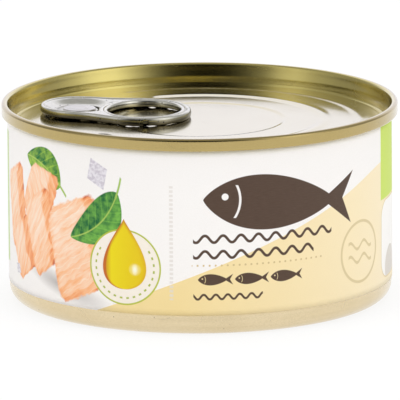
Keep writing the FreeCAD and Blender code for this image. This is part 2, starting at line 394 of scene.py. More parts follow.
def metal(name, colour, stain, roughness, lines, specks, stretch, bump, coat=1.0, coat_roughness=0.06):
    """Metal with the rolled finish under a clear lacquer coat."""
    material = bpy.data.materials.new(name)
    material.use_nodes = True
    tree = material.node_tree
    shader = tree.nodes["Principled BSDF"]
    finish = tree.nodes.new("ShaderNodeGroup")
    finish.node_tree = metal_finish
    for label, value in (("Colour", colour), ("Stain", stain), ("Roughness", roughness),
                         ("Lines", lines), ("Specks", specks), ("Stretch", stretch)):
        finish.inputs[label].default_value = value
    wire(tree, finish.outputs["Colour"], shader.inputs["Base Color"])
    wire(tree, finish.outputs["Roughness"], shader.inputs["Roughness"])
    bumps = tree.nodes.new("ShaderNodeBump")
    bumps.inputs["Strength"].default_value = bump
    bumps.inputs["Distance"].default_value = 0.00003
    wire(tree, finish.outputs["Height"], bumps.inputs["Height"])
    wire(tree, bumps.outputs[0], shader.inputs["Normal"])
    shader.inputs["Metallic"].default_value = 1.0
    shader.inputs["Coat Weight"].default_value = coat
    shader.inputs["Coat Roughness"].default_value = coat_roughness
    return material


corner_r = BODY_R - BASE_CORNER
ring_inner = corner_r - STAND_RING_W
panel_edge = ring_inner - BASE_STEP_W
base_r = np.linspace(0.0, panel_edge, 110)
base_z = BASE_DEPTH + sum(wave_rib(base_r - panel_edge + inset, BASE_RIB_W, BASE_RIB_RISE)
                          for inset in BASE_RIB_INS)
slope_r = np.linspace(panel_edge, ring_inner, 10)[1:]
outline = np.concatenate([
    np.stack([base_r, base_z], axis=1),
    np.stack([slope_r, BASE_DEPTH * (1 - ease(panel_edge, ring_inner, slope_r))], axis=1),
    run((ring_inner + 0.2, 0.0), (corner_r - 0.1, 0.0), 4),
    arc(corner_r, BASE_CORNER, BASE_CORNER, -90, 0, 20),
    run((BODY_R, 4.0), (BODY_R, BODY_TOP), 8),
    run((BODY_INNER_R, BODY_TOP), (BODY_INNER_R, PLUG_Z), 3),
    run((BODY_INNER_R - 0.5, PLUG_Z), (0.0, PLUG_Z), 3)])
body_lacquer = metal("gold_lacquered_body", ink(232, 214, 176), ink(205, 184, 140), roughness=0.22,
                     lines=0.6, specks=0.6, stretch=(0.05, 0.05, 1.0), bump=0.5, coat=0.6,
                     coat_roughness=0.15)
points, faces = turned(outline[:, 0], outline[:, 1])
piece("can_body_drawn", points, faces, body_lacquer, "can_body")

# Easy-open end: tinplate lacquered gold inside and out, rolled over the body's edge as the seam,
# with a steep wall down to a groove and a panel stiffened by ribs that stay open round the tab.
SEAM_R = 43.4
CAN_TOP = 43.5
SEAM_FOOT_Z = 40.75
SEAM_W = 1.4
SEAM_TOP_ROUND = 0.6
SEAM_FOOT_ROUND = 0.45
PLUG_R = 41.7
END_T = 0.15
GROOVE_R = 41.35
GROOVE_Z = 38.55
GROOVE_W = 1.1
PANEL_R = 39.55
PANEL_Z = 39.2
OUTER_RIB = (34.95, 3.2, 0.13, 47.0)      # middle, width, rise, degrees left free beside the tab's line
INNER_RIB = (27.25, 4.2, 0.16, 55.0)
CENTRE_STEP_R = 18.45
CENTRE_STEP_W = 1.2
CENTRE_DROP = 0.2
TAB_AZIMUTH = math.radians(163.8)
RIVET_AT = 27.45
BOSS_R = 3.8
BOSS_RISE = 0.5


def open_rib(radius, azimuth, middle, width, height, half_gap):
    """Rib round the panel, left open half_gap degrees on each side of the tab: a cosine wave of the
    distance to its arc, or to the nearer end of the arc, which makes the ends round."""
    off_line = np.abs((azimuth - TAB_AZIMUTH + np.pi) % (2 * np.pi) - np.pi)
    to_end = np.maximum(np.radians(half_gap) - off_line, 0.0)
    end_distance = np.sqrt(radius ** 2 + middle ** 2 - 2 * radius * middle * np.cos(to_end))
    return wave_rib(np.where(to_end > 0, end_distance, np.abs(radius - middle)), width, height)


def plain_panel(radius):
    """Height of the panel without its ribs and boss: the flat and the sunk middle."""
    return PANEL_Z - CENTRE_DROP * (1 - ease(CENTRE_STEP_R - CENTRE_STEP_W / 2,
                                             CENTRE_STEP_R + CENTRE_STEP_W / 2, radius))


def panel_height(radius, azimuth):
    """Height of the whole panel, with the two open ribs and the rivet's boss."""
    from_rivet = np.sqrt(radius ** 2 + RIVET_AT ** 2 - 2 * radius * RIVET_AT * np.cos(azimuth - TAB_AZIMUTH))
    ribs = open_rib(radius, azimuth, *OUTER_RIB) + open_rib(radius, azimuth, *INNER_RIB)
    return plain_panel(radius) + ribs + BOSS_RISE * (1 - ease(BOSS_R - 0.1, BOSS_R + 0.9, from_rivet))


WALL_BEAD = 0.02
wall_z = np.linspace(CAN_TOP - 0.9, GROOVE_Z + 0.6, 22)
wall_r = (np.interp(wall_z, (GROOVE_Z + 0.6, SEAM_FOOT_Z, CAN_TOP - 0.6), (GROOVE_R, PLUG_R - END_T, 42.0))
          + WALL_BEAD * np.sin((wall_z - 38.6) * 2 * np.pi / 2.6))
groove = arc(GROOVE_R - GROOVE_W / 2, GROOVE_Z + GROOVE_W / 2, GROOVE_W / 2, 0, -150, 14)
ramp_t = np.linspace(0.0, 1.0, 7)[1:-1]
ramp_climb = ramp_t + 0.12 * np.sin(np.pi * ramp_t)
ramp_rows = np.stack([groove[-1, 0] + (PANEL_R - groove[-1, 0]) * ramp_t,
                      groove[-1, 1] + (PANEL_Z - groove[-1, 1]) * ramp_climb], axis=1)
rim = np.concatenate([
    run((0.0, PLUG_Z), (PLUG_R, PLUG_Z), 3), run((PLUG_R, PLUG_Z + 0.5), (PLUG_R, SEAM_FOOT_Z), 3),
    arc(SEAM_R - SEAM_FOOT_ROUND, SEAM_FOOT_Z + SEAM_FOOT_ROUND, SEAM_FOOT_ROUND, -90, 0, 7),
    run((SEAM_R, 41.5), (SEAM_R, 42.6), 3),
    arc(SEAM_R - SEAM_TOP_ROUND, CAN_TOP - SEAM_TOP_ROUND, SEAM_TOP_ROUND, 0, 90, 9),
    arc(SEAM_R - SEAM_W + SEAM_TOP_ROUND, CAN_TOP - SEAM_TOP_ROUND, SEAM_TOP_ROUND, 90, 170, 8),
    np.stack([wall_r, wall_z], axis=1), groove, ramp_rows])
# Lacquer: gold on the wall and the seam, worn thin and nearly clear on the panel
PANEL_TINT, PANEL_STAIN = (0.72, 0.64, 0.38, 1.0), (0.62, 0.53, 0.28, 1.0)
WALL_TINT, WALL_STAIN = (0.70, 0.59, 0.18, 1.0), (0.60, 0.49, 0.13, 1.0)
SEAM_TINT, SEAM_STAIN = (0.50, 0.38, 0.13, 1.0), (0.40, 0.29, 0.09, 1.0)
panel_rows = np.linspace(PANEL_R, 0.0, 112)
azimuth = np.arange(ROUND_STEPS) * 2 * np.pi / ROUND_STEPS
end_r = np.concatenate([rim[:, 0], panel_rows])
end_z = np.concatenate([np.repeat(rim[:, 1:], ROUND_STEPS, axis=1),
                        panel_height(panel_rows[:, None], azimuth[None, :])])
end_lacquer = metal("gold_lacquered_end", PANEL_TINT, PANEL_TINT, roughness=0.12, lines=0.35,
                    specks=0.35, stretch=(0.06, 1.0, 0.5), bump=0.25, coat_roughness=0.09)
tree = end_lacquer.node_tree
finish = next(node for node in tree.nodes if node.type == "GROUP")
here_x, here_y, _ = split_axes(tree, tree.nodes.new("ShaderNodeTexCoord").outputs["Object"])
off_axis = calc(tree, "SQRT", here_x * here_x + here_y * here_y)
on_wall = spread(tree, off_axis, 39.7 * MM, 40.3 * MM)
on_seam = spread(tree, off_axis, 42.4 * MM, 42.9 * MM)
tint = over(tree, on_seam, over(tree, on_wall, PANEL_TINT, WALL_TINT), SEAM_TINT)
stain = over(tree, on_seam, over(tree, on_wall, PANEL_STAIN, WALL_STAIN), SEAM_STAIN)
wire(tree, tint, finish.inputs["Colour"])
wire(tree, stain, finish.inputs["Stain"])
wire(tree, on_wall * 0.08 + 0.11, finish.inputs["Roughness"])
points, faces = turned(end_r, end_z)
piece("easy_open_end", points, faces, end_lacquer, "lid")

# Rivet: drawn up from the end and flattened over the tab's tongue, so it is bright bare metal.
RIVET_HEAD_R = 3.6
RIVET_SEAT_Z = 39.7
RIVET_HEAD_Z = 40.0
RIVET_HEAD_H = 0.4
RIVET_STEM_R = 2.2
TAB_LINE = np.array((math.cos(TAB_AZIMUTH), math.sin(TAB_AZIMUTH), 0.0))
crown_r = np.linspace(RIVET_HEAD_R - 0.3, 0.0, 14)
head = np.concatenate([
    run((0.0, RIVET_SEAT_Z - 0.3), (RIVET_STEM_R, RIVET_SEAT_Z - 0.3), 3),
    run((RIVET_STEM_R, RIVET_HEAD_Z), (RIVET_HEAD_R - 0.1, RIVET_HEAD_Z + 0.01), 3),
    arc(RIVET_HEAD_R - 0.24, RIVET_HEAD_Z + RIVET_HEAD_H - 0.24, 0.24, -20, 90, 8),
    np.stack([crown_r, RIVET_HEAD_Z + RIVET_HEAD_H - 0.14 * (1 - ease(1.2, 2.2, crown_r))], axis=1)])
bright_steel = metal("bright_rivet_steel", ink(226, 222, 214), ink(180, 176, 168), roughness=0.25,
                     lines=0.2, specks=0.2, stretch=(1.0, 1.0, 1.0), bump=0.3, coat=0.3)
points, faces = turned(head[:, 0], head[:, 1], 96)
piece("rivet_head", points + RIVET_AT * TAB_LINE, faces, bright_steel, "lid")

# Ring-pull: stamped from steel strip, its outer edge and the edge of the finger hole curled under,
# a dish pressed round the rivet, and a slot that frees the riveted tongue.
NOSE_R = 8.7
RING_R = 11.2
RING_AT = 13.55
TAB_FOOT_Z = 39.5         # underside of the tab at the rivet
TAB_TILT = math.radians(0.9)
TAB_H = 1.75
CURL_W = 1.15               # outer curl
HOLE_CURL_W = 1.0          # curl round the finger hole
HOLE_MIDDLE = 12.65
HOLE_HALF_LENGTH = 7.9
HOLE_HALF_WIDTH = 9.2
STRIP_T = 0.3
CREST = 1.56
DISH_FLOOR = 0.5
SLOT = (4.0, 4.8, 70.0)    # inner and outer radius about the rivet, degrees to each side
NOTCH_ANGLE = 113.0
NOTCH_W = 1.1
NOTCH_DEPTH = 0.95         # the notch ends this far inside the ring's edge
NOTCH_TOP = 1.4
WAIST = 0.5
BAR_W = 1.9                # web between the finger hole and the dish
CURL_POINTS = 900
HOLE_POINTS = 480
SPOKES = 360
SLOT_COLUMN = 3            # cells of the dish between the slot's two radii
# Painted shade in a ring round the tongue: its radius about the rivet and its width
CREASE_SHADE_R = 4.6
CREASE_SHADE_W = 0.5
SHARP_FROM = math.radians(48)


def tab_path(inset, count):
    """Points evenly along the tab's outline moved in by inset: the nose arc, the ring arc and the two
    sides between, drawn in a little at the waist, anticlockwise in the tab's own plane."""
    nose_r, ring_r = NOSE_R - inset, RING_R - inset
    lean = math.acos((ring_r - nose_r) / (RIVET_AT - RING_AT))
    nose = np.linspace(-lean, lean, 200)
    ring = np.linspace(lean, 2 * np.pi - lean, 300)
    nose_arc = np.stack([RIVET_AT + nose_r * np.cos(nose), nose_r * np.sin(nose)], axis=1)
    ring_arc = np.stack([RING_AT + ring_r * np.cos(ring), ring_r * np.sin(ring)], axis=1)
    gone = np.linspace(0.0, 1.0, 80)[1:-1, None]
    side = nose_arc[-1] + (ring_arc[0] - nose_arc[-1]) * gone
    side = side - WAIST * np.sin(np.pi * gone) ** 2 * np.array((math.cos(lean), math.sin(lean)))
    corners = np.concatenate([nose_arc, side, ring_arc, side[::-1] * (1, -1)])
    corners = np.concatenate([corners, corners[:1]])
    gone = np.concatenate([[0.0], np.cumsum(np.linalg.norm(np.diff(corners, axis=0), axis=1))])
    at = np.linspace(0.0, gone[-1], count, endpoint=False)
    return np.stack([np.interp(at, gone, corners[:, 0]), np.interp(at, gone, corners[:, 1])], axis=1)


def hole_path(outset, count):
    """Oval of the finger hole moved out by outset."""
    angle = np.linspace(0.0, 2 * np.pi, count, endpoint=False)
    return np.stack([HOLE_MIDDLE + (HOLE_HALF_LENGTH + outset) * np.cos(angle),
                     (HOLE_HALF_WIDTH + outset) * np.sin(angle)], axis=1)


def outward(path):
    """Unit normals of a closed anticlockwise path, from the chord between each point's neighbours."""
    chord = np.roll(path, -1, axis=0) - np.roll(path, 1, axis=0)
    normal = np.stack([chord[:, 1], -chord[:, 0]], axis=1)
    return normal / np.linalg.norm(normal, axis=1, keepdims=True)


def curl(path, width, low, high, sides=28):
    """Closed tube along a closed path. Its section is an oval a little squared, |x|^2.2 + |z|^2.2 = 1, of
    that width and between the two heights. Gives points as (path point, side, 3)."""
    angle = np.linspace(0.0, 2 * np.pi, sides, endpoint=False)
    across = np.sign(np.cos(angle)) * np.abs(np.cos(angle)) ** 0.9 * width / 2
    low = np.broadcast_to(low, len(path))[:, None]
    level = (low + high) / 2 + np.sign(np.sin(angle)) * np.abs(np.sin(angle)) ** 0.9 * (high - low) / 2
    flat = path[:, None, :] + outward(path)[:, None, :] * across[None, :, None]
    return np.concatenate([flat, level[:, :, None]], axis=2)


def grid_cells(lines, steps, lines_close=True, steps_close=True):
    """Quads of a grid of points, so many lines of so many steps, as an array (line, step, 4) of point
    numbers. Lines or steps that close run on from the last to the first."""
    i = np.arange(lines if lines_close else lines - 1)[:, None]
    j = np.arange(steps if steps_close else steps - 1)[None, :]
    next_i, next_j = (i + 1) % lines, (j + 1) % steps
    return np.stack(np.broadcast_arrays(i * steps + j, next_i * steps + j,
                                        next_i * steps + next_j, i * steps + next_j), axis=-1)


def closed_skins(cells, count):
    """Faces of a closed shell: the cells of one skin, the same cells turned over on the other skin,
    whose points are numbered higher by count, and walls along every free edge."""
    edges = np.stack([cells, np.roll(cells, -1, axis=1)], axis=-1).reshape(-1, 2)
    key = np.sort(edges, axis=1) @ np.array((count, 1))
    _, first, times = np.unique(key, return_index=True, return_counts=True)
    free = edges[first[times == 1]]
    walls = np.stack([free[:, 1], free[:, 0], free[:, 0] + count, free[:, 1] + count], axis=1)
    return np.concatenate([cells, cells[:, ::-1] + count, walls])


def edge_reach(middle, angles):
    """Distance from a point on the tab's line to the middle of the outer curl, at each of the angles."""
    edge = tab_path(CURL_W / 2, 2000) - np.array((middle, 0.0))
    edge_angle = np.arctan2(edge[:, 1], edge[:, 0])
    order = np.argsort(edge_angle)
    return np.interp((angles + np.pi) % (2 * np.pi) - np.pi, edge_angle[order],
                     np.linalg.norm(edge, axis=1)[order], period=2 * np.pi)


# Outer curl: it reaches down to the panel, which lies this high in the tab's own plane
outer_path = tab_path(CURL_W / 2, CURL_POINTS)
panel_below = plain_panel(np.linalg.norm(outer_path, axis=1)) - TAB_FOOT_Z
panel_below = panel_below + (RIVET_AT - outer_path[:, 0]) * math.sin(TAB_TILT)
ripple = np.maximum(0.0, 0.03 + 0.07 * np.sin(outer_path[:, 0] * 1.3 + outer_path[:, 1] * 0.4)
                    + 0.05 * np.sin(outer_path[:, 0] * 2.9 - outer_path[:, 1] * 1.1))
curl_low = (panel_below + ripple) * (1 - ease(17.0, 22.0, outer_path[:, 0]))
outer_curl = curl(outer_path, CURL_W, curl_low, TAB_H)
notch_direction = np.array((math.cos(math.radians(NOTCH_ANGLE)), math.sin(math.radians(NOTCH_ANGLE))))
notch_at = np.array((RING_AT, 0.0)) + RING_R * notch_direction
along = (outer_curl[..., :2] - notch_at) @ np.array((-notch_direction[1], notch_direction[0]))
depth = (outer_curl[..., :2] - notch_at) @ notch_direction
in_notch = (np.abs(along) < NOTCH_W / 2) & (depth > -CURL_W * 0.9) & (outer_curl[..., 2] < NOTCH_TOP)
push = np.where(in_notch, np.maximum(depth + NOTCH_DEPTH, 0.0), 0.0)
outer_curl[..., :2] -= push[..., None] * notch_direction

inner_path = hole_path(HOLE_CURL_W / 2, HOLE_POINTS)
inner_curl = curl(inner_path, HOLE_CURL_W, 0.1, TAB_H - 0.06)

# Web between the two curls, in rays from the middle of the finger hole: a closed strip of eight points,
# out along the top and back along the underside. Toward the rivet it is only a bar.
ray = np.linspace(0.0, 2 * np.pi, HOLE_POINTS, endpoint=False)
ray_way = np.stack([np.cos(ray), np.sin(ray)], axis=1)
inner_reach = 1.0 / np.linalg.norm(ray_way / (HOLE_HALF_LENGTH + 0.5, HOLE_HALF_WIDTH + 0.5), axis=1)
most = np.where(np.cos(ray) > 0.45, BAR_W - 0.5, 9.0)
outer_reach = np.minimum(edge_reach(HOLE_MIDDLE, ray), inner_reach + most)
share = np.array((0.0, 0.25, 0.5, 0.75, 1.0, 1.0, 0.5, 0.0))
web_z = CREST + np.array((-0.1, -0.2, -0.24, -0.2, -0.1, -0.45, -0.5, -0.45))
reach = inner_reach[:, None] + (outer_reach - inner_reach)[:, None] * share
web = np.concatenate([np.array((HOLE_MIDDLE, 0.0)) + reach[..., None] * ray_way[:, None, :],
                      np.broadcast_to(web_z[None, :, None], (*reach.shape, 1))], axis=2)

# Dish in rays from the rivet, out to the outer curl or to the bar beside the hole
spoke = np.linspace(0.0, 2 * np.pi, SPOKES, endpoint=False) + np.pi / SPOKES
spoke_way = np.stack([np.cos(spoke), np.sin(spoke)], axis=1)
oval = (HOLE_HALF_LENGTH + 1.0, HOLE_HALF_WIDTH + 1.0)
scaled = spoke_way / oval
start = np.array((RIVET_AT - HOLE_MIDDLE, 0.0)) / oval
half_b, squares = scaled @ start, (scaled ** 2).sum(axis=1)
inside_root = half_b ** 2 - squares * ((start ** 2).sum() - 1)
hits = (inside_root > 0) & (half_b < 0)
to_oval = np.where(hits, (-half_b - np.sqrt(np.maximum(inside_root, 0))) / squares, 99.0)
spoke_reach = np.minimum(edge_reach(RIVET_AT, spoke), to_oval)
fixed = np.array((2.25, 3.0, SLOT[0] - 0.05, SLOT[0], SLOT[1]))
outer_share = np.linspace(0.0, 1.0, 26)[1:]
beyond = np.maximum(spoke_reach, SLOT[1] + 0.15)[:, None]
radii = np.concatenate([np.broadcast_to(fixed, (SPOKES, len(fixed))),
                        SLOT[1] + (beyond - SLOT[1]) * outer_share], axis=1)
flat = np.array((RIVET_AT, 0.0)) + radii[..., None] * spoke_way[:, None, :]
from_hole = (np.linalg.norm((flat - (HOLE_MIDDLE, 0.0)) / oval, axis=-1) - 1) * HOLE_HALF_LENGTH
rim_share = np.maximum(ease(5.2, 7.9, radii), 1 - ease(0.5, 1.5, from_hole))
rim_share = np.where(radii < SLOT[0] + 0.01, 0.0, rim_share)
dish_z = DISH_FLOOR + (CREST - DISH_FLOOR) * rim_share
dish = np.concatenate([flat, dish_z[..., None]], axis=2)
cells = grid_cells(SPOKES, dish.shape[1], steps_close=False)[..., (0, 3, 2, 1)]     # wound to face up
off_ring_side = np.abs((spoke + np.pi / SPOKES) % (2 * np.pi) - np.pi)
kept = np.ones(cells.shape[:2], bool)
kept[off_ring_side < math.radians(SLOT[2]), SLOT_COLUMN] = False
cells = cells[kept]


def place_tab(points):
    """Points of the tab's own plane tilted about the rivet, turned to its azimuth and raised."""
    x, y, z = points[:, 0] - RIVET_AT, points[:, 1], points[:, 2]
    u = RIVET_AT + x * math.cos(TAB_TILT) - z * math.sin(TAB_TILT)
    w = z * math.cos(TAB_TILT) + x * math.sin(TAB_TILT)
    return np.stack([u * math.cos(TAB_AZIMUTH) - y * math.sin(TAB_AZIMUTH),
                     u * math.sin(TAB_AZIMUTH) + y * math.cos(TAB_AZIMUTH), w + TAB_FOOT_Z], axis=1)


# Painted shade of each point, from 0 to 1: darker at the foot of the curls, on the web, in a ring round the
# tongue and on the underside of the dish, where shade falls. A value above 1 paints the notch near black as
# its shadow.
curl_shade = np.maximum(1 - ease(0.5, 1.65, outer_curl[..., 2]), 1.3 * (push > 0))
hole_shade = 0.5 - 0.5 * ease(0.4, 1.2, inner_curl[..., 2])
web_shade = np.full(web.shape[:2], 0.3)
tab_points, tab_faces, tab_shade = [], [], []
total = 0
for shell, point_shade in ((outer_curl, curl_shade), (inner_curl, hole_shade), (web, web_shade)):
    tab_points.append(shell.reshape(-1, 3))
    tab_shade.append(point_shade.ravel())
    tab_faces += (grid_cells(*shell.shape[:2]).reshape(-1, 4) + total).tolist()
    total += len(tab_points[-1])
top = dish.reshape(-1, 3)
tab_points.append(np.concatenate([top, top - (0.0, 0.0, STRIP_T)]))
tab_faces += (closed_skins(cells, len(top)) + total).tolist()
crease_shade = 0.8 * np.exp(-((radii.ravel() - CREASE_SHADE_R) / CREASE_SHADE_W) ** 2)
tab_shade.append(np.concatenate([crease_shade, np.full(crease_shade.shape, 0.8)]))
tab_steel = metal("bare_steel_tab", ink(240, 238, 226), ink(192, 189, 178), roughness=0.2,
                  lines=0.5, specks=2.0, stretch=(1.0, 1.0, 1.0), bump=0.5, coat=0.0)
ring_pull = piece("ring_pull", place_tab(np.concatenate(tab_points)), tab_faces, tab_steel,
                  "pull_tab")
ring_pull.data.set_sharp_from_angle(angle=SHARP_FROM)
shade_layer = ring_pull.data.attributes.new("painted_shade", "FLOAT", "POINT")
shade_layer.data.foreach_set("value", np.concatenate(tab_shade).astype(np.float32))
tree = tab_steel.node_tree
finish = next(node for node in tree.nodes if node.type == "GROUP")
painted_shade = tree.nodes.new("ShaderNodeAttribute")
painted_shade.attribute_name = "painted_shade"
painted_shade_level = Term(tree, painted_shade.outputs["Fac"])
# Painted shade: the steel is darkened toward a dark brown grey where the painted shade attribute is high
colour = over(tree, painted_shade_level * 0.8, finish.outputs["Colour"], ink(62, 55, 54))
# Painted shadow: the notch's colour is pushed to near black
colour = over(tree, spread(tree, painted_shade_level, 1.0, 1.25), colour, grey(0.003))
wire(tree, colour, tree.nodes["Principled BSDF"].inputs["Base Color"])

# Paper label: one strip of coated white paper glued round the wall, its end lapped at the back,
# printed with plain fields of colour and simple food shapes.
LABEL_FROM = 4.55
LABEL_TO = 40.6
LABEL_R = 42.1
LABEL_T = 0.14
LAP = 0.19                 # radians of lap
LABEL_COLUMNS = 720
LABEL_ROWS = 26


def label_strip():
    """Strip wound once round the wall from the back and on over its own start. The radius is the wall's
    plus the paper, plus a paper's thickness over the lap and a slight waviness. Outer and inner skins
    share their rows, so the strip closes along its four edges."""
    way = np.linspace(0.0, 1.0, LABEL_COLUMNS)
    angle = np.pi / 2 - LAP / 2 + way * (2 * np.pi + LAP)
    rows = np.linspace(LABEL_FROM, LABEL_TO, LABEL_ROWS)
    lift = 0.1 * ease(2 * np.pi - LAP * 0.5, 2 * np.pi + LAP * 0.4, way * (2 * np.pi + LAP))
    ripple = 0.012 * np.sin(angle * 23)[:, None] * np.sin(rows / 5.0)[None, :]
    outer = LABEL_R + lift[:, None] + ripple
    inner = outer - LABEL_T
    skins = []
    for radius in (outer, inner):
        skins.append(np.stack([radius * np.cos(angle)[:, None], radius * np.sin(angle)[:, None],
                               np.broadcast_to(rows, radius.shape)], axis=-1))
    return angle, rows, skins


angle, rows, skins = label_strip()
points = np.concatenate([skin.reshape(-1, 3) for skin in skins])
count = LABEL_COLUMNS * LABEL_ROWS
cells = grid_cells(LABEL_COLUMNS, LABEL_ROWS, lines_close=False, steps_close=False).reshape(-1, 4)
label_faces = closed_skins(cells, count)


def inside(distance, edge, soft=0.12):
    """Mask that is 1 where the distance is under the edge, with a soft border."""
    room = edge - distance
    return calc(room.tree, "MULTIPLY_ADD", room, 1.0 / soft, 0.5, clamp=True)


def both(*masks):
    """Product of masks."""
    mask = masks[0]
    for other in masks[1:]:
        mask = mask * other
    return mask


def turned_axes(across, upward, middle, degrees):
    """The two coordinates about a middle, turned by an angle."""
    cosine, sine = math.cos(math.radians(degrees)), math.sin(math.radians(degrees))
    x = across - middle[0]
    y = upward - middle[1]
    return x * cosine + y * sine, y * cosine - x * sine


def length(x, y):
    """Distance from the middle."""
    return calc(x.tree, "SQRT", x * x + y * y)


# Leaf: two curved edges that meet in points, a pale midrib, side veins, one half darker
leaf_group, given, result = new_group(
    "leaf_print", {"Along": ("Float", 0.0), "Across": ("Float", 0.0), "Length": ("Float", 8.0),
                   "Width": ("Float", 4.0), "Bend": ("Float", 0.02), "Light": ("Color", grey(0.5)),
                   "Dark": ("Color", grey(0.2))}, {"Mask": "Float", "Colour": "Color"})
tree = leaf_group
leaf_along, leaf_across = given["Along"], given["Across"]
share_along = leaf_along / given["Length"]
off = leaf_across - given["Bend"] * (leaf_along * leaf_along)
flatness = calc(tree, "SUBTRACT", 1.0, share_along * share_along, clamp=True)
fullness = flatness ** 0.75 * (share_along * -0.22 + 1.0)
blade = inside(abs(off), given["Width"] * fullness, 0.2)
blade = both(blade, inside(abs(share_along), 1.0, 0.02))
stem = both(inside(abs(off), 0.26, 0.15),
            inside(abs(share_along + 1.1), 0.25, 0.03))
vein = abs(calc(tree, "FRACT", (abs(off) * 0.9 + leaf_along) * 0.42) - 0.5)
mottle = noise(tree, join_axes(tree, leaf_along, leaf_across), 0.55, 3.0)
tone = inside(off, 0.0, 1.5) * 0.35 + spread(tree, mottle, 0.35, 0.65, 0.0, 0.75)
tone = calc(tree, "SUBTRACT", tone, inside(vein, 0.06, 0.08) * 0.3, clamp=True)
colour = over(tree, tone, given["Light"], given["Dark"])
rib_mask = calc(tree, "MAXIMUM", inside(abs(off), 0.16, 0.15), stem)
colour = over(tree, rib_mask * 0.8, colour, ink(176, 205, 96))
wire(tree, calc(tree, "MAXIMUM", blade, stem), result.inputs["Mask"])
wire(tree, colour, result.inputs["Colour"])

# Chunk of cooked fish: a tapering block with torn edges, a pale face of slanting muscle bands
# parted by white seams, and a darker side face below a wavy ridge
chunk_group, given, result = new_group(
    "fish_chunk_print", {"Along": ("Float", 0.0), "Across": ("Float", 0.0), "Length": ("Float", 8.0),
                         "Width": ("Float", 4.0), "Slant": ("Float", 0.8), "Taper": ("Float", 0.2),
                         "Ridge": ("Float", -0.4)}, {"Mask": "Float", "Colour": "Color"})
tree = chunk_group
chunk_along, chunk_across = given["Along"], given["Across"]
chunk_place = join_axes(tree, chunk_along, chunk_across, given["Length"])
tear = noise(tree, chunk_place, 0.7, 2.0) - 0.5
sway = noise(tree, chunk_place, 0.22, 2.0) - 0.5
share_along = chunk_along / given["Length"]
narrowed = given["Width"] * (share_along * given["Taper"] + 1.0)
share_across = (sway * 1.1 + chunk_across) / narrowed
skew = share_across * 0.16 + share_along
block = calc(tree, "MAXIMUM", abs(skew), abs(share_across))
block = calc(tree, "MAXIMUM", block, (abs(skew) + abs(share_across)) * 0.57)
block = tear * 0.14 + block
mask = inside(block, 0.96, 0.05)
slanted = chunk_across * given["Slant"] + chunk_along
muscle = calc(tree, "FRACT", (sway * 4.0 + slanted) * 0.34)
fibre = noise(tree, join_axes(tree, slanted, chunk_across * 0.25, given["Length"]), 1.1, 3.0)
side_face = inside(sway * 0.7 + share_across, given["Ridge"], 0.14)
tone = side_face * 0.36 + spread(tree, fibre, 0.32, 0.72, 0.05, 0.38)
tone = tone + spread(tree, share_along, 0.1, -1.0, 0.0, 0.24)
tone = muscle * 0.18 + tone
tone = tone + spread(tree, block, 0.8, 0.98, 0.0, 0.22)
seam_line = abs(muscle - 0.5)
tone = calc(tree, "SUBTRACT", tone, inside(seam_line, 0.03, 0.07) * 0.24, clamp=True)
colour = ramp(tree, tone, [(0.0, ink(255, 234, 216)), (0.3, ink(254, 214, 182)), (0.6, ink(252, 186, 134)),
                           (0.85, ink(243, 150, 92)), (1.0, ink(206, 106, 66))])
wire(tree, mask, result.inputs["Mask"])
wire(tree, colour, result.inputs["Colour"])

label_paper = bpy.data.materials.new("printed_label_paper")
label_paper.use_nodes = True
tree = label_paper.node_tree
shader = tree.nodes["Principled BSDF"]
print_map = tree.nodes.new("ShaderNodeUVMap")
print_map.uv_map = "print"
map_u, map_v, _ = split_axes(tree, print_map.outputs[0])
PRINT_SPAN = 150.0         # the print map holds millimetres divided by this, and half is the front
s = map_u * (2 * PRINT_SPAN) - PRINT_SPAN     # millimetres round the wall from the middle of the front
h = map_v * PRINT_SPAN                        # millimetres above the table
paper_mm = join_axes(tree, s, h)

fibres = noise(tree, paper_mm, 3.0, 3.0)
colour = over(tree, spread(tree, fibres, 0.3, 0.7), ink(250, 247, 245), ink(247, 244, 241))


def band_mask(value, low, high, soft=0.12):
    """1 where the value lies between low and high."""
    return both(inside(value, high, soft), inside(low, value, soft))


# Cream field that climbs from the lower left to the right and falls again at the back
climb = s * 0.395 + 13.9
fall = s * -0.5 + 72.0
edge = calc(tree, "SMOOTH_MIN", climb, 33.0, 5.0)
edge = calc(tree, "MINIMUM", edge, fall)
field = inside(h, edge, 0.12)
cream = over(tree, spread(tree, s, -5.0, 56.0), ink(245, 221, 159), ink(251, 237, 206))
cream = over(tree, spread(tree, fibres, 0.3, 0.7, 0.0, 0.12), cream, ink(236, 212, 158))
colour = over(tree, field, colour, cream)

# Green bands near the two sides
green = ink(203, 226, 96)
colour = over(tree, both(band_mask(s, 50.6, 63.0), inside(23.9, h)), colour, green)
colour = over(tree, both(band_mask(s, -70.0, -60.2), band_mask(h, 9.0, 38.0)), colour,
              ink(196, 219, 150))


def rounded_box(middle, half, corner):
    """Signed distance outside a box with round corners."""
    dx = abs(s - middle[0]) - (half[0] - corner)
    dy = abs(h - middle[1]) - (half[1] - corner)
    outer = length(calc(tree, "MAXIMUM", dx, 0.0), calc(tree, "MAXIMUM", dy, 0.0))
    inner = calc(tree, "MINIMUM", calc(tree, "MAXIMUM", dx, dy), 0.0)
    return outer + inner - corner


# White rounded panel on the right side, thin tan outline, pale grey disc at its foot
panel = rounded_box((58.2, 14.9), (7.4, 8.8), 4.0)
colour = over(tree, inside(panel, 0.0), colour, ink(226, 206, 160))
panel_in = inside(panel, -0.3)
colour = over(tree, panel_in, colour, ink(251, 249, 246))
px, py = turned_axes(s, h, (58.2, 8.2), 0)
colour = over(tree, both(panel_in, inside(length(px, py), 4.6)), colour, ink(222, 216, 208))

# Soft grey shadow under the pieces of fish, then the leaves, the pieces and the crystals
px, py = turned_axes(s, h, (-33.0, 8.6), -14)
shadow = calc(tree, "SUBTRACT", 1.0, length(px / 14.0, py / 2.8), clamp=True)
colour = over(tree, shadow * 0.75, colour, ink(150, 142, 138))


